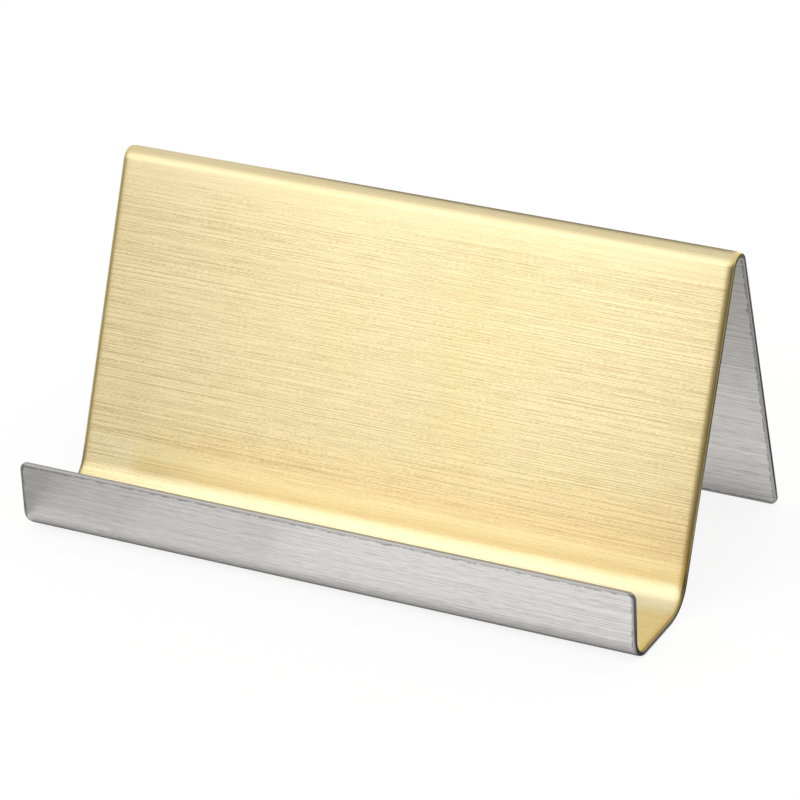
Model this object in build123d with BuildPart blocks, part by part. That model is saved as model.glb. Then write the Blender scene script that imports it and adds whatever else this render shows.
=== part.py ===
"""Business card holder stand.

One blank of thin stainless sheet, gold on one face and bare on the other, is bent three times across
its width into an upright lip, a flat tray, a display face that leans back and a rear leg that props it.
The front is towards -Y, the width runs along X, and the stand rests on the plane Z = 0.
"""

import os
from math import cos, radians, sin

from build123d import *

# Driving dimensions, in millimetres and degrees
stand_width = 100.0         # side to side
stand_height = 47.0         # table to the top of the crest
steel_thickness = 0.8       # the sheet itself
coat_thickness = 0.05       # the gold layer on one face of the sheet
lip_height = 11.25          # table to the upper edge of the lip
tray_depth = 14.75          # lip to the foot of the display face, on the coated side of the steel
face_lean = 23.7            # display face, from the vertical
leg_splay = 14.0            # rear leg, from the vertical
lip_bend_radius = 2.6       # inside the bend, on the coated side of the steel
face_bend_radius = 5.3      # inside the bend, on the coated side of the steel
crest_bend_radius = 1.5     # inside the bend, on the bare side of the steel
corner_radius = 1.1         # the two free corners of the lip and the two of the rear leg
edge_round = 0.2            # deburred outline of the bare side

# Crest bend and leg foot. Depths are measured back from the coated side of the lip.
# Both slopes run tangent to the crest's bend. The rounded bare edge of the leg's end stands on the table,
# so the sharp corner of that edge would lie a little below it.
face_angle = radians(face_lean)
leg_angle = radians(leg_splay)
crest_outer_radius = crest_bend_radius + steel_thickness
crest_centre_height = stand_height - coat_thickness - crest_outer_radius
crest_centre_depth = (
    tray_depth
    + ((crest_centre_height - steel_thickness) * sin(face_angle) + crest_outer_radius) / cos(face_angle)
)
foot_corner_drop = edge_round * (sin(leg_angle) + cos(leg_angle) - 1)
leg_foot_depth = (
    crest_centre_depth
    + (crest_bend_radius + (crest_centre_height + foot_corner_drop) * sin(leg_angle)) / cos(leg_angle)
)

# The stand's depth, from the front of the lip to the coated foot of the leg, is centred on the origin
rear_depth = leg_foot_depth + (steel_thickness + coat_thickness) * cos(leg_angle)
stand_depth = steel_thickness + rear_depth
lip_y = steel_thickness - stand_depth / 2

# Sharp corners of the bend line, which is the coated side of the steel
crest_rise = crest_outer_radius / sin((face_angle + leg_angle) / 2)
crest_tilt = (face_angle - leg_angle) / 2
lip_top = (lip_y, lip_height)
lip_foot = (lip_y, steel_thickness)
face_foot = (lip_y + tray_depth, steel_thickness)
crest = (
    lip_y + crest_centre_depth + crest_rise * sin(crest_tilt),
    crest_centre_height + crest_rise * cos(crest_tilt),
)
leg_end = (
    lip_y + leg_foot_depth + steel_thickness * cos(leg_angle),
    steel_thickness * sin(leg_angle) - foot_corner_drop,
)

# The bend line lies in the stand's plane of symmetry, so each layer is formed on one half and mirrored
with BuildLine(Plane.YZ) as bend_line:
    FilletPolyline(
        lip_top,
        lip_foot,
        face_foot,
        crest,
        leg_end,
        radius=[lip_bend_radius, face_bend_radius, crest_outer_radius],
    )


def lip_rim(layer):
    """Cut face along the upper edge of the lip."""
    return layer.faces().filter_by(Axis.Z).sort_by(Axis.Y)[0]


def leg_rim(layer):
    """Cut face along the lower edge of the rear leg."""
    return layer.faces().sort_by(Axis.Y)[-1]


def round_free_corners(layer):
    """Round the lip's two corners and the leg's two corners through the layer's thickness."""
    fillet(lip_rim(layer).edges().filter_by(Axis.X, reverse=True), corner_radius)
    fillet(leg_rim(layer).edges().filter_by(Axis.X, reverse=True), corner_radius)


# Steel sheet: its bare side is the front of the lip, the underside of the tray and the inside of the legs.
# The outline is one smooth loop, so the round that starts at the lip's front edge runs all the way along it.
with BuildPart() as steel_sheet:
    make_brake_formed(steel_thickness, stand_width / 2, line=bend_line.line, side=Side.LEFT)
    mirror(about=Plane.YZ)
    round_free_corners(steel_sheet)
    fillet(lip_rim(steel_sheet).edges().filter_by(Axis.X).sort_by(Axis.Y)[0], edge_round)

# Gold coat: the layer on the card side of the sheet, over the crest and down the back of the leg
with BuildPart() as gold_coat:
    make_brake_formed(coat_thickness, stand_width / 2, line=bend_line.line, side=Side.RIGHT)
    mirror(about=Plane.YZ)
    round_free_corners(gold_coat)

os.makedirs("parts", exist_ok=True)
steel_sheet.part.label = "steel_sheet"
export_step(steel_sheet.part, "parts/steel_sheet.step")
gold_coat.part.label = "gold_coat"
export_step(gold_coat.part, "parts/gold_coat.step")
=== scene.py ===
"""Looks of the business card holder stand: one brushed sheet, gold on one side and bare on the other.

The sheet is drawn as a flat blank and folded at its three bends by Geometry Nodes, as it is on a press brake.
Sizes are in metres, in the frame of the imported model: X is the width, the front is towards -Y, and Z = 0 is
the table.
"""

from math import cos, hypot, pi, radians, sin, tan

import bpy
from bpy.props import FloatProperty, FloatVectorProperty, PointerProperty
from mathutils import Matrix, Vector


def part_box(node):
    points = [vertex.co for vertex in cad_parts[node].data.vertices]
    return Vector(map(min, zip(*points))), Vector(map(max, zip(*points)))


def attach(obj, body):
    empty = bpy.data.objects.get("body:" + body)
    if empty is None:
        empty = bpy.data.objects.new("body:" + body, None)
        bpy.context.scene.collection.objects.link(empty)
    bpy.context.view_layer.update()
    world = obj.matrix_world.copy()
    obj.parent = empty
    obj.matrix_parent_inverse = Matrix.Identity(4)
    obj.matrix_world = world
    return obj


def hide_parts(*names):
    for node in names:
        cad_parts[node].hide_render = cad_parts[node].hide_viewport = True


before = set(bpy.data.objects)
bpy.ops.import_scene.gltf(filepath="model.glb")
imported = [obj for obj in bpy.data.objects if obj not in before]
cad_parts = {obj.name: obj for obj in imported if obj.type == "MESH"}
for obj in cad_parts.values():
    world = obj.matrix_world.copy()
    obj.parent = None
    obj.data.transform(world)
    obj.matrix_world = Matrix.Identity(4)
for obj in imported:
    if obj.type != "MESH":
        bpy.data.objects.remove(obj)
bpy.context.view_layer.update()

bl_info = {
    "name": "Business card stand",
    "version": (1, 0, 0),
    "blender": (4, 5, 0),
    "location": "3D View > Sidebar > Card stand",
    "description": "Builds a brushed two-tone business card stand from a folded sheet",
    "category": "Object",
}

STEEL_LOW, STEEL_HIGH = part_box("steel_sheet")
_, COAT_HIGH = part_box("gold_coat")
HALF_WIDTH = STEEL_HIGH.x
MM = 0.001

BRUSH_MAP = "brush"             # UV map of the flat blank, in metres: U along the blank, V across it
RIM_DISTANCE = "rim_distance"   # distance in from the blank's outline, in metres
TRAY_SHARE = "tray_share"       # 1 on the tray and the two bends beside it, 0 on the lip and the face
CREST_SHARE = "crest_share"     # 1 on the crest, 0 on the face and the leg
BEND_MARGIN = 5.0 * MM          # how far these shares run out on the flats
COLUMNS = 72                    # spans across the width, crowded towards both sides

# Spans along the blank, from the lip's upper edge to the end of the leg.
# A flat crowds its spans towards both ends, and a bend spaces them evenly.
STRIPS = (
    ("Lip", 28, "SMOOTHERSTEP"),
    ("Lip bend", 24, "LINEAR"),
    ("Tray", 12, "SMOOTHERSTEP"),
    ("Face bend", 32, "LINEAR"),
    ("Face", 24, "SMOOTHERSTEP"),
    ("Crest bend", 56, "LINEAR"),
    ("Leg", 42, "SMOOTHERSTEP"),
)
ROWS = sum(spans for _, spans, _ in STRIPS)


def length(label, description, default):
    """A size in metres that a user may change."""
    return FloatProperty(
        name=label, description=description, default=default, unit="LENGTH", subtype="DISTANCE", precision=5
    )


def angle(label, description, degrees):
    """An angle that a user may change."""
    return FloatProperty(name=label, description=description, default=radians(degrees), subtype="ANGLE")


def colour(label, description, default):
    """A colour that a user may change."""
    return FloatVectorProperty(
        name=label, description=description, default=default, size=3, min=0.0, max=1.0, subtype="COLOR"
    )


class CardStandSheet(bpy.types.PropertyGroup):
    """Sizes of the folded sheet."""

    width: length("Width", "Side to side", STEEL_HIGH.x - STEEL_LOW.x)
    height: length("Height", "Table to the top of the crest", COAT_HIGH.z)
    steel: length("Steel thickness", "Thickness of the bare sheet", 0.8 * MM)
    coat: length("Coat thickness", "Thickness of the gold layer", 0.05 * MM)
    lip_height: length("Lip height", "Table to the upper edge of the lip", 11.25 * MM)
    tray_depth: length("Tray depth", "Lip to the foot of the display face", 14.75 * MM)
    face_lean: angle("Face lean", "Display face, from the vertical", 23.7)
    leg_splay: angle("Leg splay", "Rear leg, from the vertical", 14.0)
    lip_radius: length("Lip bend", "Inside radius between the lip and the tray", 2.6 * MM)
    face_radius: length("Face bend", "Inside radius between the tray and the face", 5.3 * MM)
    crest_radius: length("Crest bend", "Inside radius between the face and the leg", 1.5 * MM)
    corner: length("Corners", "Radius of the blank's four corners", 1.1 * MM)
    foot_round: length("Foot round", "Round of the leg's edge that stands on the table", 0.2 * MM)
    roll_reach: length("Roll-over width", "How far in from the cut the gold side curves down", 1.1 * MM)
    roll_depth: length("Roll-over depth", "How far the gold side has dropped at the cut", 0.22 * MM)
    deburr_reach: length("Deburr width", "How far in from the cut the bare side is rounded", 0.4 * MM)
    deburr_depth: length("Deburr depth", "How far the bare side is rounded off at the cut", 0.2 * MM)


class CardStandFinish(bpy.types.PropertyGroup):
    """Colours of the two finishes."""

    gold: colour("Gold", "Brushed gold of the card side", (0.93, 0.785, 0.465))
    gold_stroke: colour("Gold strokes", "Darker strokes in the gold", (0.65, 0.52, 0.265))
    gold_warm: colour("Gold, warm places", "Warmer drifts in the gold", (0.92, 0.755, 0.425))
    # The pressed tone is partly burnish and partly a painted sheen for the light on the tray, its bends and
    # the crest
    gold_pressed_sheen: colour("Gold, pressed", "Tray and its bends, burnished by pressing", (1.0, 0.893, 0.575))
    gold_rim: colour("Gold, rim", "Deeper gold where the coat curves down to the cut", (0.94, 0.735, 0.285))
    # The worn tone also serves as painted shade along the tray's rim, where it sits by the table
    gold_worn_and_shade: colour("Gold, worn rim", "Where the gold is worn through at the cut", (0.26, 0.22, 0.14))
    steel: colour("Steel", "Brushed steel of the bare side", (0.84, 0.825, 0.79))
    steel_stroke: colour("Steel strokes", "Darker strokes in the steel", (0.58, 0.57, 0.555))
    steel_bevel: colour("Deburred rim", "Dull band along the cut, and the lip's edge", (0.50, 0.49, 0.47))
    steel_burr: colour("Burr line", "Ragged line inside that band", (0.27, 0.262, 0.25))
    steel_cut: colour("Cut edge", "Sheared edge of the sheet", (0.16, 0.155, 0.148))


class CardStandStage(bpy.types.PropertyGroup):
    """Floor, light and camera."""

    floor: colour("Floor", "Colour of the floor", (0.18, 0.18, 0.18))
    room: colour("Room", "Plain light from all round", (0.77, 0.77, 0.77))
    azimuth: angle("Camera azimuth", "Camera, round from straight ahead towards +X", 28.7)
    elevation: angle("Camera elevation", "Camera, above the horizon", 27.469)
    roll: angle("Camera roll", "Camera, turned about its own view", -2.869)
    distance: length("Camera distance", "Camera to the point it looks at", 651.749 * MM)
    lens: FloatProperty(name="Lens", description="Focal length of the camera", default=199.917, unit="CAMERA")
    target: FloatVectorProperty(
        name="Camera target",
        description="Point that the camera looks at",
        default=(0.505 * MM, 0.429 * MM, 19.33 * MM),
        size=3,
        subtype="TRANSLATION",
        unit="LENGTH",
    )


def new_node(tree, kind, **settings):
    """Add a node with the given settings."""
    node = tree.nodes.new(kind)
    for name, value in settings.items():
        setattr(node, name, value)
    return node


def feed(tree, socket, value):
    """Link a node's output to an input, or set a plain value on it."""
    if isinstance(value, bpy.types.NodeSocket):
        tree.links.new(value, socket)
    else:
        socket.default_value = value


def calc(tree, operation, *values, clamp=False):
    """One step of arithmetic."""
    node = new_node(tree, "ShaderNodeMath", operation=operation, use_clamp=clamp)
    for socket, value in zip(node.inputs, values):
        feed(tree, socket, value)
    return node.outputs[0]


def remap(tree, value, low, high, to_low, to_high, ease="LINEAR"):
    """Carry a value from one range to another, held at both ends."""
    node = new_node(tree, "ShaderNodeMapRange", interpolation_type=ease, clamp=True)
    for socket, given in zip(node.inputs, (value, low, high, to_low, to_high)):
        feed(tree, socket, given)
    return node.outputs[0]


def separate(tree, vector):
    """The three parts of a vector."""
    node = new_node(tree, "ShaderNodeSeparateXYZ")
    feed(tree, node.inputs[0], vector)
    return node.outputs


def combine(tree, x, y, z):
    """A vector from three parts."""
    node = new_node(tree, "ShaderNodeCombineXYZ")
    for socket, value in zip(node.inputs, (x, y, z)):
        feed(tree, socket, value)
    return node.outputs[0]


def start_group(name, inputs, outputs):
    """A new Geometry Nodes tree with named sockets, and its input and output sockets."""
    tree = bpy.data.node_groups.new(name, "GeometryNodeTree")
    for label, kind in inputs:
        tree.interface.new_socket(label, in_out="INPUT", socket_type="NodeSocket" + kind)
    for label, kind in outputs:
        tree.interface.new_socket(label, in_out="OUTPUT", socket_type="NodeSocket" + kind)
    return tree, new_node(tree, "NodeGroupInput").outputs, new_node(tree, "NodeGroupOutput").inputs


def call_group(tree, group, **values):
    """Use a node group inside a tree, with its inputs given by name."""
    node = new_node(tree, "GeometryNodeGroup", node_tree=group)
    for name, value in values.items():
        feed(tree, node.inputs[name], value)
    return node.outputs[0]


def brake_bend_group():
    """Fold a flat blank about one bend line.

    A point is (across, along, height above the blank), and Flat is how far along it lay before any fold.
    Turn is 1 where the bend closes over the upper side of the blank, and -1 where it closes under it.
    """
    tree, given, result = start_group(
        "brake_bend",
        [
            ("Point", "Vector"),
            ("Flat", "Float"),
            ("Start", "Float"),
            ("Radius", "Float"),
            ("Angle", "Float"),
            ("Turn", "Float"),
        ],
        [("Point", "Vector")],
    )
    across, along, height = separate(tree, given["Point"])
    start, radius, turn = given["Start"], given["Radius"], given["Turn"]
    into_bend = calc(tree, "DIVIDE", calc(tree, "SUBTRACT", given["Flat"], start), radius)
    turned = calc(tree, "MINIMUM", calc(tree, "MAXIMUM", into_bend, 0.0), given["Angle"])
    arc = calc(tree, "MULTIPLY", radius, turned)
    straight = calc(tree, "SUBTRACT", calc(tree, "SUBTRACT", along, start), arc)
    from_centre = calc(tree, "SUBTRACT", radius, calc(tree, "MULTIPLY", turn, height))
    sine, cosine = calc(tree, "SINE", turned), calc(tree, "COSINE", turned)
    new_along = calc(tree, "ADD", start, calc(tree, "MULTIPLY", from_centre, sine))
    new_along = calc(tree, "ADD", new_along, calc(tree, "MULTIPLY", straight, cosine))
    new_height = calc(tree, "SUBTRACT", radius, calc(tree, "MULTIPLY", from_centre, cosine))
    new_height = calc(tree, "ADD", new_height, calc(tree, "MULTIPLY", straight, sine))
    feed(tree, result["Point"], combine(tree, across, new_along, calc(tree, "MULTIPLY", turn, new_height)))
    return tree


def rim_curve_group():
    """How far a surface has curved away at a distance in from the outline: a quarter of an ellipse."""
    tree, given, result = start_group(
        "rim_curve",
        [("Distance", "Float"), ("Reach", "Float"), ("Depth", "Float")],
        [("Drop", "Float")],
    )
    inside = calc(tree, "SUBTRACT", given["Reach"], given["Distance"])
    share = calc(tree, "DIVIDE", inside, given["Reach"], clamp=True)
    left = calc(tree, "SQRT", calc(tree, "SUBTRACT", 1.0, calc(tree, "MULTIPLY", share, share)))
    feed(tree, result["Drop"], calc(tree, "MULTIPLY", given["Depth"], calc(tree, "SUBTRACT", 1.0, left)))
    return tree


def folded_layer_group():
    """One layer of the sheet: a blank with rounded corners and a curved rim, folded at its three bends."""
    flats = ["Width", "Lip", "Tray", "Face", "Leg", "Corner"]
    bends = ["Lip radius", "Face radius", "Crest radius", "Lip angle", "Face angle", "Crest angle"]
    sides = ["Upper", "Upper reach", "Upper depth", "Lower", "Lower reach", "Lower depth"]
    places = ["Front", "Lip top"]
    tree, given, result = start_group(
        "folded_layer",
        [("Geometry", "Geometry")]
        + [(name, "Float") for name in flats + bends + sides + places]
        + [("Finish", "Material")],
        [("Geometry", "Geometry")],
    )
    # The cube is 1 m along each side, so the places on its grid run from -0.5 to 0.5
    blank = new_node(tree, "GeometryNodeMeshCube")
    blank.inputs["Vertices X"].default_value = COLUMNS + 1
    blank.inputs["Vertices Y"].default_value = ROWS + 1
    grid_x, grid_y, grid_z = separate(tree, new_node(tree, "GeometryNodeInputPosition").outputs[0])

    # Along the blank: each strip adds its own length, so the strips follow each other
    strip_lengths = {name: given[name] for name in ("Lip", "Tray", "Face", "Leg")}
    for name in ("Lip", "Face", "Crest"):
        radius, turned = given[name + " radius"], given[name + " angle"]
        strip_lengths[name + " bend"] = calc(tree, "MULTIPLY", radius, turned)
    row = calc(tree, "MULTIPLY", calc(tree, "ADD", grid_y, 0.5), float(ROWS))
    along = total = 0.0
    first = 0
    strip_starts, strip_ends = {}, {}
    for name, spans, ease in STRIPS:
        strip_starts[name] = total
        step = remap(tree, row, float(first), float(first + spans), 0.0, strip_lengths[name], ease)
        along = calc(tree, "ADD", along, step)
        total = strip_ends[name] = calc(tree, "ADD", total, strip_lengths[name])
        first += spans

    # Shares of the pressed places: full on them, fading out over a margin on the flats beside them
    shares = []
    for first_strip, last_strip in (("Lip bend", "Face bend"), ("Crest bend", "Crest bend")):
        before = calc(tree, "SUBTRACT", strip_starts[first_strip], along)
        after = calc(tree, "SUBTRACT", along, strip_ends[last_strip])
        outside = calc(tree, "MAXIMUM", before, after)
        shares.append(remap(tree, outside, 0.0, BEND_MARGIN, 1.0, 0.0, "SMOOTHSTEP"))
    tray_share, crest_share = shares

    # Across the blank: the width draws in along the rounded corners of both ends
    corner = given["Corner"]
    end_distance = calc(tree, "MINIMUM", along, calc(tree, "SUBTRACT", total, along))
    end_inset = calc(tree, "MAXIMUM", calc(tree, "SUBTRACT", corner, end_distance), 0.0)
    end_square = calc(tree, "MULTIPLY", end_inset, end_inset)
    reach = calc(tree, "SQRT", calc(tree, "SUBTRACT", calc(tree, "MULTIPLY", corner, corner), end_square))
    half_width = calc(tree, "MULTIPLY", given["Width"], 0.5)
    half_span = calc(tree, "ADD", calc(tree, "SUBTRACT", half_width, corner), reach)
    share = remap(tree, grid_x, -0.5, 0.5, -1.0, 1.0, "SMOOTHERSTEP")
    across = calc(tree, "MULTIPLY", share, half_span)

    # Distance in from the outline, as far as the corner's radius
    side_distance = calc(tree, "SUBTRACT", half_width, calc(tree, "ABSOLUTE", across))
    side_inset = calc(tree, "MAXIMUM", calc(tree, "SUBTRACT", corner, side_distance), 0.0)
    inset_square = calc(tree, "ADD", calc(tree, "MULTIPLY", side_inset, side_inset), end_square)
    rim = calc(tree, "MAXIMUM", calc(tree, "SUBTRACT", corner, calc(tree, "SQRT", inset_square)), 0.0)

    # Height above the blank's bend surface, for the upper and the lower side of the layer
    curve = rim_curve_group()
    upper_drop = call_group(tree, curve, Distance=rim, Reach=given["Upper reach"], Depth=given["Upper depth"])
    lower_rise = call_group(tree, curve, Distance=rim, Reach=given["Lower reach"], Depth=given["Lower depth"])
    upper = calc(tree, "SUBTRACT", given["Upper"], upper_drop)
    lower = calc(tree, "ADD", given["Lower"], lower_rise)
    height = remap(tree, grid_z, -0.5, 0.5, lower, upper)

    # The last bend is folded first, so that each fold carries the finished rest of the sheet with it
    bend = brake_bend_group()
    point = combine(tree, across, along, height)
    for name, turn in (("Crest", -1.0), ("Face", 1.0), ("Lip", 1.0)):
        point = call_group(
            tree,
            bend,
            Point=point,
            Flat=along,
            Start=strip_starts[name + " bend"],
            Radius=given[name + " radius"],
            Angle=given[name + " angle"],
            Turn=turn,
        )
    folded_x, folded_along, folded_height = separate(tree, point)
    place = combine(
        tree,
        folded_x,
        calc(tree, "ADD", given["Front"], folded_height),
        calc(tree, "SUBTRACT", given["Lip top"], folded_along),
    )

    geometry = blank.outputs["Mesh"]
    for name, kind, domain, value in (
        (BRUSH_MAP, "FLOAT2", "CORNER", combine(tree, along, across, 0.0)),
        (RIM_DISTANCE, "FLOAT", "POINT", rim),
        (TRAY_SHARE, "FLOAT", "POINT", tray_share),
        (CREST_SHARE, "FLOAT", "POINT", crest_share),
    ):
        stored = new_node(tree, "GeometryNodeStoreNamedAttribute", data_type=kind, domain=domain)
        stored.inputs["Name"].default_value = name
        feed(tree, stored.inputs["Geometry"], geometry)
        feed(tree, stored.inputs["Value"], value)
        geometry = stored.outputs["Geometry"]
    placed = new_node(tree, "GeometryNodeSetPosition")
    feed(tree, placed.inputs["Geometry"], geometry)
    feed(tree, placed.inputs["Position"], place)
    smooth = new_node(tree, "GeometryNodeSetShadeSmooth")
    feed(tree, smooth.inputs["Geometry"], placed.outputs["Geometry"])
    realized = new_node(tree, "GeometryNodeRealizeInstances")
    feed(tree, realized.inputs["Geometry"], smooth.outputs["Geometry"])
    finished = new_node(tree, "GeometryNodeSetMaterial")
    feed(tree, finished.inputs["Geometry"], realized.outputs["Geometry"])
    feed(tree, finished.inputs["Material"], given["Finish"])
    feed(tree, result["Geometry"], finished.outputs["Geometry"])
    return tree


def fold_sizes(sheet):
    """Lengths of the blank's flats, angles of its bends and the place of the lip, from the stand's sizes."""
    lean, splay = sheet.face_lean, sheet.leg_splay

    # Depths run back from the inner side of the lip: the centre of the crest's bend, then the end of the leg
    crest_outer = sheet.crest_radius + sheet.steel
    crest_height = sheet.height - sheet.coat - crest_outer
    crest_depth = sheet.tray_depth + ((crest_height - sheet.steel) * sin(lean) + crest_outer) / cos(lean)
    foot_drop = sheet.foot_round * (sin(splay) + cos(splay) - 1)
    foot_depth = crest_depth + (sheet.crest_radius + (crest_height + foot_drop) * sin(splay)) / cos(splay)
    rear_depth = foot_depth + (sheet.steel + sheet.coat) * cos(splay)

    # Where the face and the leg would meet if the crest weren't rounded, and where the leg's gold side ends
    crest_rise = crest_outer / sin((lean + splay) / 2)
    crest_tilt = (lean - splay) / 2
    crest_y = crest_depth + crest_rise * sin(crest_tilt)
    crest_z = crest_height + crest_rise * cos(crest_tilt)
    leg_y = foot_depth + sheet.steel * cos(splay)
    leg_z = sheet.steel * sin(splay) - foot_drop

    # What each bend takes off the flats beside it
    lip_angle, face_angle, crest_angle = pi / 2, pi / 2 - lean, pi - lean - splay
    lip_tangent = sheet.lip_radius * tan(lip_angle / 2)
    face_tangent = sheet.face_radius * tan(face_angle / 2)
    crest_tangent = crest_outer * tan(crest_angle / 2)
    return {
        "Width": sheet.width,
        "Lip": sheet.lip_height - sheet.steel - lip_tangent,
        "Tray": sheet.tray_depth - lip_tangent - face_tangent,
        "Face": hypot(crest_y - sheet.tray_depth, crest_z - sheet.steel) - face_tangent - crest_tangent,
        "Leg": hypot(leg_y - crest_y, crest_z - leg_z) - crest_tangent,
        "Corner": sheet.corner,
        "Lip radius": sheet.lip_radius,
        "Face radius": sheet.face_radius,
        "Crest radius": crest_outer,
        "Lip angle": lip_angle,
        "Face angle": face_angle,
        "Crest angle": crest_angle,
        "Front": sheet.steel - (sheet.steel + rear_depth) / 2,
        "Lip top": sheet.lip_height,
    }


def make_layer(name, finish, sides):
    """Fold one layer and turn it into a plain mesh object at the origin."""
    sheet = bpy.context.scene.card_stand_sheet
    tree = bpy.data.node_groups.get("folded_layer") or folded_layer_group()
    holder = bpy.data.objects.new(name + "_blank", bpy.data.meshes.new(name + "_blank"))
    bpy.context.scene.collection.objects.link(holder)
    folding = holder.modifiers.new("Fold", "NODES")
    folding.node_group = tree
    sizes = fold_sizes(sheet) | sides | {"Finish": finish}
    for item in tree.interface.items_tree:
        if item.in_out == "INPUT" and item.name in sizes:
            folding[item.identifier] = sizes[item.name]
    depsgraph = bpy.context.evaluated_depsgraph_get()
    mesh = bpy.data.meshes.new_from_object(
        holder.evaluated_get(depsgraph), preserve_all_data_layers=True, depsgraph=depsgraph
    )
    holder.modifiers.remove(folding)
    bpy.data.objects.remove(holder)
    if not mesh.polygons:
        raise RuntimeError(name + " came out of its node tree with no faces")
    mesh.name = name
    piece = bpy.data.objects.new(name, mesh)
    bpy.context.scene.collection.objects.link(piece)
    return piece


ANISOTROPY = 0.9                # how far the gloss of both sides is drawn out, at right angles to the strokes
STROKE_ROUGHNESS = 0.6          # how strongly the finer detail of a stroke shows

# Layers of strokes: width and length of a stroke in millimetres, detail, and weight in the grain
GOLD_STROKES = (
    (0.12, 0.6, 0.0, 0.16),
    (0.11, 5.0, 1.0, 0.24),
    (0.12, 22.0, 1.0, 0.24),
    (0.13, 200.0, 0.0, 0.36),
)
STEEL_STROKES = (
    (0.16, 2.5, 1.0, 0.32),
    (0.17, 14.0, 1.0, 0.24),
    (0.17, 160.0, 1.0, 0.44),
)
GOLD_STROKE_RANGE = (0.45, 0.605)       # grain where the dark strokes begin, and where they are full
STEEL_STROKE_RANGE = (0.43, 0.66)
GOLD_ROUGHNESS = 0.285
STEEL_ROUGHNESS = (0.32, 0.38)          # least and most, along with the longest strokes
ROUGHNESS_RANGE = (0.3, 0.7)            # grain of those strokes at which it is least and most
GOLD_RELIEF = 0.006 * MM                # depth of the brushing
STEEL_RELIEF = 0.005 * MM

WARM_SIZE = 30.0                        # size of the warm places in millimetres
WARM_RANGE = (0.42, 0.66)               # noise where they begin, and where they are full
# The tray's and crest's paler tone is partly burnish, partly painted sheen; towards the left side it fades
# out as painted shade
TRAY_FULL = 0.6                         # tray share from which the tray's tone is full
TRAY_SHEEN_FADE_IN = 20.0 * MM                # how far in from the left side that tone sets in
CREST_SHEEN = 0.15                    # share of the pressed tone on the crest
PRESSED_STROKES = 0.4                   # what is left of the strokes on the crest and the tray

# Bands along the cut, as distances in from it: where a tone is full, and where it has faded out
ROLLED_BAND = (0.2 * MM, 1.1 * MM)
# The tray's rim is darkened towards the worn tone: painted shade where the rim meets the table
TRAY_RIM_SHADE_BAND = (0.05 * MM, 0.6 * MM)
TRAY_RIM_SHADE_MOST = 0.85                      # how far the rubbed band turns to the worn tone
WORN_BAND = (0.02 * MM, 0.06 * MM)
BEVEL_BAND = (0.25 * MM, 0.60 * MM)
CUT_BAND = (0.03 * MM, 0.07 * MM)
PALER_LIP_EDGE_BAND = (0.1 * MM, 0.3 * MM)     # from the lip's upper edge

# The ragged line of the burr sets in over one distance in from the cut and fades out over another
BURR_IN = (0.32 * MM, 0.42 * MM)
BURR_OUT = (0.46 * MM, 0.58 * MM)
BURR_GAPS = 0.7                         # size of the gaps in the line, in millimetres
BURR_RANGE = (0.42, 0.56)               # noise where the line begins, and where it is strongest
BURR_MOST = 0.85                        # how far it then turns to the burr's tone
RIM_WANDER = 0.15 * MM                  # how far the band and the line wander in and out
WANDER_SIZE = 1.0                       # size of one wander in millimetres
WANDER_RANGE = (0.3, 0.7)               # noise at the farthest out, and at the farthest in
WANDER_DETAIL = 3.0                     # finer wanders on top of it

# Sockets of a Mix node in colour mode
FIRST_COLOUR, SECOND_COLOUR, MIXED_COLOUR = 6, 7, 2


def streaks(tree, brush, stroke_width, stroke_length, detail):
    """Strokes of a brushing belt, narrow along the blank and drawn out across it. Sizes in millimetres."""
    stretch = new_node(tree, "ShaderNodeMapping", vector_type="POINT")
    feed(tree, stretch.inputs["Vector"], brush)
    stretch.inputs["Scale"].default_value = (1 / (stroke_width * MM), 1 / (stroke_length * MM), 1.0)
    noise = new_node(tree, "ShaderNodeTexNoise", noise_dimensions="2D")
    feed(tree, noise.inputs["Vector"], stretch.outputs["Vector"])
    noise.inputs["Scale"].default_value = 1.0
    noise.inputs["Detail"].default_value = detail
    noise.inputs["Roughness"].default_value = STROKE_ROUGHNESS
    return noise.outputs["Fac"]


def drifts(tree, size, detail=2.0):
    """Soft uneven places on the piece, about the given size in millimetres."""
    place = new_node(tree, "ShaderNodeTexCoord").outputs["Object"]
    noise = new_node(tree, "ShaderNodeTexNoise", noise_dimensions="3D")
    feed(tree, noise.inputs["Vector"], place)
    noise.inputs["Scale"].default_value = 1 / (size * MM)
    noise.inputs["Detail"].default_value = detail
    return noise.outputs["Fac"]


def weigh(tree, *parts):
    """Sum of values, each with its weight."""
    total = 0.0
    for value, weight in parts:
        total = calc(tree, "ADD", total, calc(tree, "MULTIPLY", value, weight))
    return total


def brushing(tree, brush, layers):
    """Layers of strokes on one side of the sheet, and the grain that they add up to."""
    strokes = [streaks(tree, brush, *sizes) for *sizes, _ in layers]
    grain = weigh(tree, *((stroke, weight) for stroke, (*_, weight) in zip(strokes, layers)))
    return strokes, grain


def blend_colour(tree, share, first, second):
    """Mix two colours by a share."""
    node = new_node(tree, "ShaderNodeMix", data_type="RGBA", clamp_factor=True)
    feed(tree, node.inputs["Factor"], share)
    for socket, value in ((FIRST_COLOUR, first), (SECOND_COLOUR, second)):
        given = value if isinstance(value, bpy.types.NodeSocket) else (*value, 1.0)
        feed(tree, node.inputs[socket], given)
    return node.outputs[MIXED_COLOUR]


def start_metal(name):
    """A new brushed metal: its tree, its shader and the flat blank's map. Strokes run across the blank."""
    material = bpy.data.materials.new(name)
    material.use_nodes = True
    tree = material.node_tree
    shader = tree.nodes["Principled BSDF"]
    shader.inputs["Metallic"].default_value = 1.0
    shader.inputs["Anisotropic"].default_value = ANISOTROPY
    tangent = new_node(tree, "ShaderNodeTangent", direction_type="UV_MAP", uv_map=BRUSH_MAP)
    feed(tree, shader.inputs["Tangent"], tangent.outputs["Tangent"])
    brush = new_node(tree, "ShaderNodeUVMap", uv_map=BRUSH_MAP).outputs["UV"]
    return material, tree, shader, brush


def measured(tree, name):
    """A value that the folding stored on the mesh."""
    return new_node(tree, "ShaderNodeAttribute", attribute_name=name).outputs["Fac"]


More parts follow.
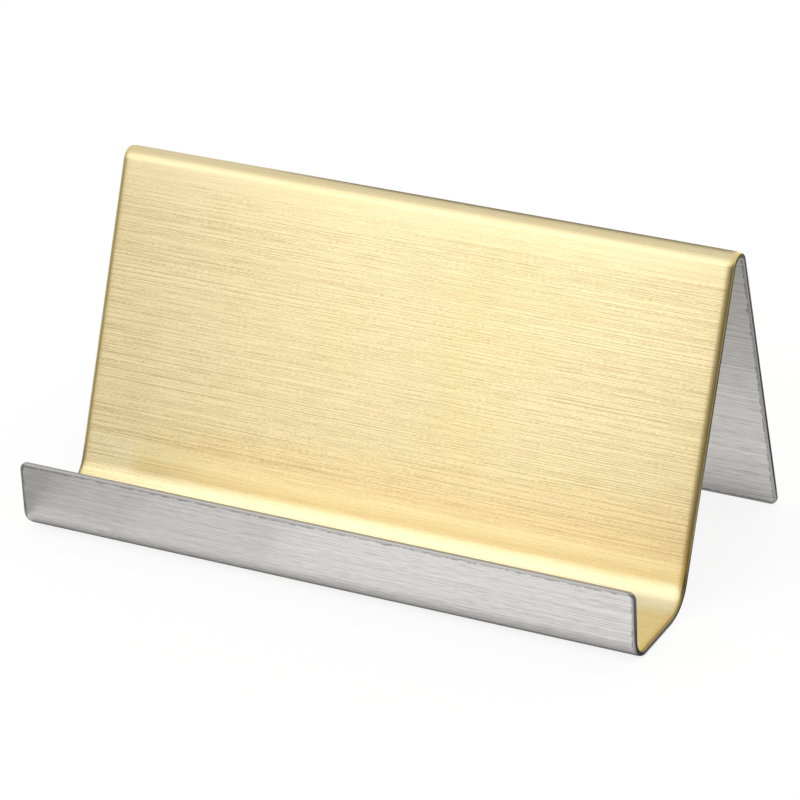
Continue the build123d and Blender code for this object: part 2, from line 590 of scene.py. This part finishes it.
def add_bump(tree, shader, height, depth):
    """Raise the surface by a pattern, to a depth in metres."""
    bump = new_node(tree, "ShaderNodeBump")
    bump.inputs["Strength"].default_value = 1.0
    bump.inputs["Distance"].default_value = depth
    feed(tree, bump.inputs["Height"], height)
    feed(tree, shader.inputs["Normal"], bump.outputs["Normal"])


def brushed_gold(finish):
    """Pale gold, brushed across the width, paler where it was pressed and with a painted sheen on the tray
    and crest, deeper and then dark at the cut, with a painted shade along the tray's rim.
    """
    material, tree, shader, brush = start_metal("brushed_gold")
    _, grain = brushing(tree, brush, GOLD_STROKES)
    tray, crest = measured(tree, TRAY_SHARE), measured(tree, CREST_SHARE)
    rim = measured(tree, RIM_DISTANCE)

    # Two shades of gold in soft places, and the paler tray and crest: partly burnish, partly a painted sheen
    # standing in for the light on them; the tray's sheen fades out towards the left side, a painted shade
    # where less light falls
    warm = remap(tree, drifts(tree, WARM_SIZE), *WARM_RANGE, 0.0, 1.0, "SMOOTHSTEP")
    tone = blend_colour(tree, warm, finish.gold, finish.gold_warm)
    from_left = calc(tree, "ADD", separate(tree, brush)[1], HALF_WIDTH)
    tray_sheen = remap(tree, tray, 0.0, TRAY_FULL, 0.0, 1.0)
    tray_sheen = calc(tree, "MULTIPLY", tray_sheen, remap(tree, from_left, 0.0, TRAY_SHEEN_FADE_IN, 0.0, 1.0))
    pressed_and_sheen = calc(tree, "MAXIMUM", tray_sheen, calc(tree, "MULTIPLY", crest, CREST_SHEEN))
    tone = blend_colour(tree, pressed_and_sheen, tone, finish.gold_pressed_sheen)

    # Darker strokes, fainter on the crest and the tray
    strokes = remap(tree, grain, *GOLD_STROKE_RANGE, 0.0, 1.0)
    for share in (crest, tray_sheen):
        strokes = calc(tree, "MULTIPLY", strokes, remap(tree, share, 0.0, 1.0, 1.0, PRESSED_STROKES))
    tone = blend_colour(tree, strokes, tone, finish.gold_stroke)

    # At the cut: deeper where the coat curves down, a painted shade along the tray's rim beside the table,
    # and worn through at the very edge
    rolled = remap(tree, rim, *ROLLED_BAND, 1.0, 0.0)
    tone = blend_colour(tree, rolled, tone, finish.gold_rim)
    tray_rim_shade = remap(tree, rim, *TRAY_RIM_SHADE_BAND, TRAY_RIM_SHADE_MOST, 0.0, "SMOOTHSTEP")
    tray_rim_shade = calc(tree, "MULTIPLY", tray_rim_shade, remap(tree, tray, TRAY_FULL, 1.0, 0.0, 1.0))
    worn_and_shade = remap(tree, rim, *WORN_BAND, 1.0, 0.0, "SMOOTHSTEP")
    worn_and_shade = calc(tree, "MAXIMUM", worn_and_shade, tray_rim_shade)
    feed(tree, shader.inputs["Base Color"], blend_colour(tree, worn_and_shade, tone, finish.gold_worn_and_shade))
    shader.inputs["Roughness"].default_value = GOLD_ROUGHNESS
    add_bump(tree, shader, grain, GOLD_RELIEF)
    return material


def brushed_steel(finish):
    """Bare steel, brushed across the width, with a dull rim, a ragged line of burr and a dark cut."""
    material, tree, shader, brush = start_metal("brushed_steel")
    strokes, grain = brushing(tree, brush, STEEL_STROKES)
    dark = remap(tree, grain, *STEEL_STROKE_RANGE, 0.0, 1.0)
    tone = blend_colour(tree, dark, finish.steel, finish.steel_stroke)

    # The deburred band and the broken line inside it, both wandering in and out
    rim = measured(tree, RIM_DISTANCE)
    wander = drifts(tree, WANDER_SIZE, WANDER_DETAIL)
    inward = calc(tree, "ADD", rim, remap(tree, wander, *WANDER_RANGE, -RIM_WANDER, RIM_WANDER))
    bevel = remap(tree, inward, *BEVEL_BAND, 1.0, 0.0, "SMOOTHSTEP")
    tone = blend_colour(tree, bevel, tone, finish.steel_bevel)
    burr = remap(tree, inward, *BURR_IN, 0.0, 1.0, "SMOOTHSTEP")
    burr = calc(tree, "MULTIPLY", burr, remap(tree, inward, *BURR_OUT, 1.0, 0.0, "SMOOTHSTEP"))
    broken = remap(tree, drifts(tree, BURR_GAPS), *BURR_RANGE, 0.0, BURR_MOST)
    burr = calc(tree, "MULTIPLY", burr, broken)
    tone = blend_colour(tree, burr, tone, finish.steel_burr)

    # The dark cut, paler along the lip's upper edge
    cut = remap(tree, rim, *CUT_BAND, 1.0, 0.0, "SMOOTHSTEP")
    from_lip_edge = separate(tree, brush)[0]
    paler_lip_edge = remap(tree, from_lip_edge, *PALER_LIP_EDGE_BAND, 1.0, 0.0)
    cut_tone = blend_colour(tree, paler_lip_edge, finish.steel_cut, finish.steel_bevel)
    tone = blend_colour(tree, cut, tone, cut_tone)
    feed(tree, shader.inputs["Base Color"], tone)
    longest = strokes[-1]
    feed(tree, shader.inputs["Roughness"], remap(tree, longest, *ROUGHNESS_RANGE, *STEEL_ROUGHNESS))
    add_bump(tree, shader, grain, STEEL_RELIEF)
    return material


FLOOR_HALF = 4.0            # metres from the middle to each side
FLOOR_GAP = 0.02 * MM       # below the stand, so that the two flat faces don't share a plane
FLOOR_LIFT = 0.85           # added to the floor for the camera and for reflections
CONTACT_REACH = 0.15 * MM   # how far from the stand the lift fades into the contact shadow
MIRROR_REACH = 8.0 * MM     # the same, where the floor is seen in the metal
CONTACT_SAMPLES = 8         # rays that feel for the stand from one point of the floor
SENSOR_WIDTH = 36.0         # of the camera, in millimetres
CLIP_RANGE = (0.05, 50.0)   # nearest and farthest that the camera sees, in metres

# Soft lamps: name, place, size across and up in metres, and brightness, where 1 is a white surface
LAMPS = (
    ("front_softbox", (-0.222, -0.460, 0.262), (0.146, 0.23), 0.78),
    ("high_softbox", (-0.195, -0.310, 0.405), (0.46, 0.27), 0.82),
    ("back_softbox", (0.130, 0.480, 0.170), (0.50, 0.30), 0.55),
)

# Shade cards that only reflections see: name, one corner, the corner across from it, and shade of grey.
# A card whose corners have the same height lies flat; the flat ones are painted shade on the table beside the
# stand.
SHADE_CARDS = (
    ("grey_card", (-0.070, -0.36, 0.0), (0.0, -0.36, 0.32), 0.25),
    ("black_card", (0.0, -0.36, 0.0), (0.18, -0.30, 0.36), 0.02),
    ("right_card", (0.18, -0.30, 0.0), (0.27, -0.20, 0.36), 0.02),
    ("left_card", (-0.40, -0.14, 0.0), (-0.36, -0.40, 0.23), 0.35),
    ("left_table_card", (-0.14, -0.20, 0.001), (-0.0505, -0.02, 0.001), 0.40),
    ("lip_table_card", (-0.0505, -0.12, 0.001), (-0.036, -0.030, 0.001), 0.70),
    ("mid_table_card", (-0.036, -0.12, 0.001), (-0.012, -0.030, 0.001), 0.92),
    ("foot_card", (-0.0505, -0.0275, 0.0003), (0.0505, -0.0247, 0.0003), 0.80),
    ("contact_card", (-0.050, -0.0247, 0.00005), (0.050, -0.0228, 0.00005), 0.02),
    ("side_table_card", (0.0502, -0.026, 0.0003), (0.058, 0.010, 0.0003), 0.10),
    ("right_table_card", (0.0515, 0.025, 0.001), (0.10, 0.12, 0.001), 0.05),
    ("front_table_card", (0.0515, -0.06, 0.001), (0.075, -0.027, 0.001), 0.10),
    ("rear_card", (-0.20, 0.35, 0.0), (-0.08, 0.35, 0.24), 0.02),
)


def floor_finish(stage):
    """Plain pale floor that the camera and the metal see as white, and that keeps the object's shadow."""
    material = bpy.data.materials.new("pale_floor")
    material.use_nodes = True
    tree = material.node_tree
    tree.nodes.remove(tree.nodes["Principled BSDF"])
    matt = new_node(tree, "ShaderNodeBsdfDiffuse")
    matt.inputs["Color"].default_value = (*stage.floor, 1.0)
    path = new_node(tree, "ShaderNodeLightPath").outputs
    lift = 0.0
    for ray, reach in (
        ("Is Camera Ray", CONTACT_REACH),
        ("Is Glossy Ray", MIRROR_REACH),
        ("Is Transmission Ray", MIRROR_REACH),
    ):
        open_floor = new_node(tree, "ShaderNodeAmbientOcclusion", samples=CONTACT_SAMPLES)
        open_floor.inputs["Distance"].default_value = reach
        seen = calc(tree, "MULTIPLY", path[ray], open_floor.outputs["AO"])
        lift = calc(tree, "ADD", lift, calc(tree, "MULTIPLY", seen, FLOOR_LIFT))
    glow = new_node(tree, "ShaderNodeEmission")
    feed(tree, glow.inputs["Strength"], lift)
    both = new_node(tree, "ShaderNodeAddShader")
    feed(tree, both.inputs[0], matt.outputs[0])
    feed(tree, both.inputs[1], glow.outputs[0])
    feed(tree, tree.nodes["Material Output"].inputs["Surface"], both.outputs[0])
    return material


def add_sheet(name, corners, material):
    """A flat four-cornered sheet of the stage."""
    mesh = bpy.data.meshes.new(name)
    mesh.from_pydata(corners, [], [(0, 1, 2, 3)])
    mesh.materials.append(material)
    sheet = bpy.data.objects.new(name, mesh)
    bpy.context.scene.collection.objects.link(sheet)
    return sheet


def add_card(name, low, high, shade):
    """A card of one grey, standing or lying flat, that only reflections see."""
    material = bpy.data.materials.new(name)
    material.use_nodes = True
    shader = material.node_tree.nodes["Principled BSDF"]
    shader.inputs["Base Color"].default_value = (shade, shade, shade, 1.0)
    shader.inputs["Roughness"].default_value = 1.0
    shader.inputs["Specular IOR Level"].default_value = 0.0
    if low[2] == high[2]:
        corners = [low, (high[0], low[1], low[2]), high, (low[0], high[1], low[2])]
    else:
        corners = [low, (high[0], high[1], low[2]), high, (low[0], low[1], high[2])]
    card = add_sheet(name, corners, material)
    card.visible_camera = card.visible_diffuse = card.visible_shadow = False


def add_lamp(name, place, size, brightness):
    """A soft rectangular lamp that faces the stand, unseen by the camera."""
    lamp = bpy.data.lights.new(name, "AREA")
    lamp.shape = "RECTANGLE"
    lamp.size, lamp.size_y = size
    lamp.energy = brightness * pi * size[0] * size[1]
    holder = bpy.data.objects.new(name, lamp)
    holder.location = place
    holder.rotation_euler = (-Vector(place)).to_track_quat("-Z", "Y").to_euler()
    holder.visible_camera = False
    bpy.context.scene.collection.objects.link(holder)


def add_camera(stage):
    """Camera at the photograph's viewing angle."""
    azimuth, elevation, roll = stage.azimuth, stage.elevation, stage.roll
    back = Vector((sin(azimuth) * cos(elevation), -cos(azimuth) * cos(elevation), sin(elevation)))
    right = Vector((cos(azimuth), sin(azimuth), 0.0))
    up = back.cross(right)
    rolled_right = right * cos(roll) + up * sin(roll)
    rolled_up = up * cos(roll) - right * sin(roll)
    turn = Matrix((rolled_right, rolled_up, back)).transposed().to_4x4()
    camera = bpy.data.objects.new("camera", bpy.data.cameras.new("camera"))
    camera.data.lens = stage.lens
    camera.data.sensor_width = SENSOR_WIDTH
    camera.data.clip_start, camera.data.clip_end = CLIP_RANGE
    camera.matrix_world = Matrix.Translation(Vector(stage.target) + back * stage.distance) @ turn
    bpy.context.scene.collection.objects.link(camera)
    bpy.context.scene.camera = camera


class CARDSTAND_OT_steel_sheet(bpy.types.Operator):
    """Fold the bare steel sheet"""

    bl_idname = "card_stand.steel_sheet"
    bl_label = "Steel sheet"

    def execute(self, context):
        sheet = context.scene.card_stand_sheet
        sides = {
            "Upper": 0.0,
            "Upper reach": sheet.roll_reach,
            "Upper depth": sheet.roll_depth,
            "Lower": -sheet.steel,
            "Lower reach": sheet.deburr_reach,
            "Lower depth": sheet.deburr_depth,
        }
        piece = make_layer("bent_steel_sheet", brushed_steel(context.scene.card_stand_finish), sides)
        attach(piece, "root")
        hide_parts("steel_sheet")
        return {"FINISHED"}


class CARDSTAND_OT_gold_coat(bpy.types.Operator):
    """Fold the gold layer over the card side of the sheet"""

    bl_idname = "card_stand.gold_coat"
    bl_label = "Gold coat"

    def execute(self, context):
        sheet = context.scene.card_stand_sheet
        sides = {
            "Upper": sheet.coat,
            "Upper reach": sheet.roll_reach,
            "Upper depth": sheet.roll_depth,
            "Lower": 0.0,
            "Lower reach": sheet.roll_reach,
            "Lower depth": -sheet.roll_depth,
        }
        piece = make_layer("brushed_gold_coat", brushed_gold(context.scene.card_stand_finish), sides)
        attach(piece, "root")
        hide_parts("gold_coat")
        return {"FINISHED"}


class CARDSTAND_OT_stage(bpy.types.Operator):
    """Set up the floor, the light and the camera"""

    bl_idname = "card_stand.stage"
    bl_label = "Stage"

    def execute(self, context):
        stage = context.scene.card_stand_stage
        signs = ((-1, -1), (1, -1), (1, 1), (-1, 1))
        corners = [(x * FLOOR_HALF, y * FLOOR_HALF, -FLOOR_GAP) for x, y in signs]
        add_sheet("floor", corners, floor_finish(stage))
        for card in SHADE_CARDS:
            add_card(*card)
        for lamp in LAMPS:
            add_lamp(*lamp)
        world = bpy.data.worlds.new("studio")
        world.use_nodes = True
        world.node_tree.nodes["Background"].inputs["Color"].default_value = (*stage.room, 1.0)
        context.scene.world = world
        add_camera(stage)
        context.scene.view_settings.view_transform = "Standard"
        return {"FINISHED"}


class CARDSTAND_PT_panel(bpy.types.Panel):
    """Sizes, colours and steps of the card stand"""

    bl_label = "Card stand"
    bl_idname = "CARDSTAND_PT_panel"
    bl_space_type = "VIEW_3D"
    bl_region_type = "UI"
    bl_category = "Card stand"

    def draw(self, context):
        for step in OPERATORS:
            self.layout.operator(step.bl_idname)
        for name in SETTINGS:
            settings = getattr(context.scene, name)
            box = self.layout.box()
            for setting in settings.__annotations__:
                box.prop(settings, setting)


OPERATORS = (CARDSTAND_OT_steel_sheet, CARDSTAND_OT_gold_coat, CARDSTAND_OT_stage)
SETTINGS = {
    "card_stand_sheet": CardStandSheet,
    "card_stand_finish": CardStandFinish,
    "card_stand_stage": CardStandStage,
}


def register():
    """Add the classes and hang the settings on the scene."""
    for cls in (*SETTINGS.values(), *OPERATORS, CARDSTAND_PT_panel):
        bpy.utils.register_class(cls)
    for name, cls in SETTINGS.items():
        setattr(bpy.types.Scene, name, PointerProperty(type=cls))


def unregister():
    """Take the settings and the classes away again."""
    for name in SETTINGS:
        delattr(bpy.types.Scene, name)
    for cls in (CARDSTAND_PT_panel, *OPERATORS, *SETTINGS.values()):
        bpy.utils.unregister_class(cls)


def main():
    """Build the stand and its stage."""
    register()
    bpy.ops.card_stand.steel_sheet()
    bpy.ops.card_stand.gold_coat()
    bpy.ops.card_stand.stage()


if __name__ == "__main__":
    main()
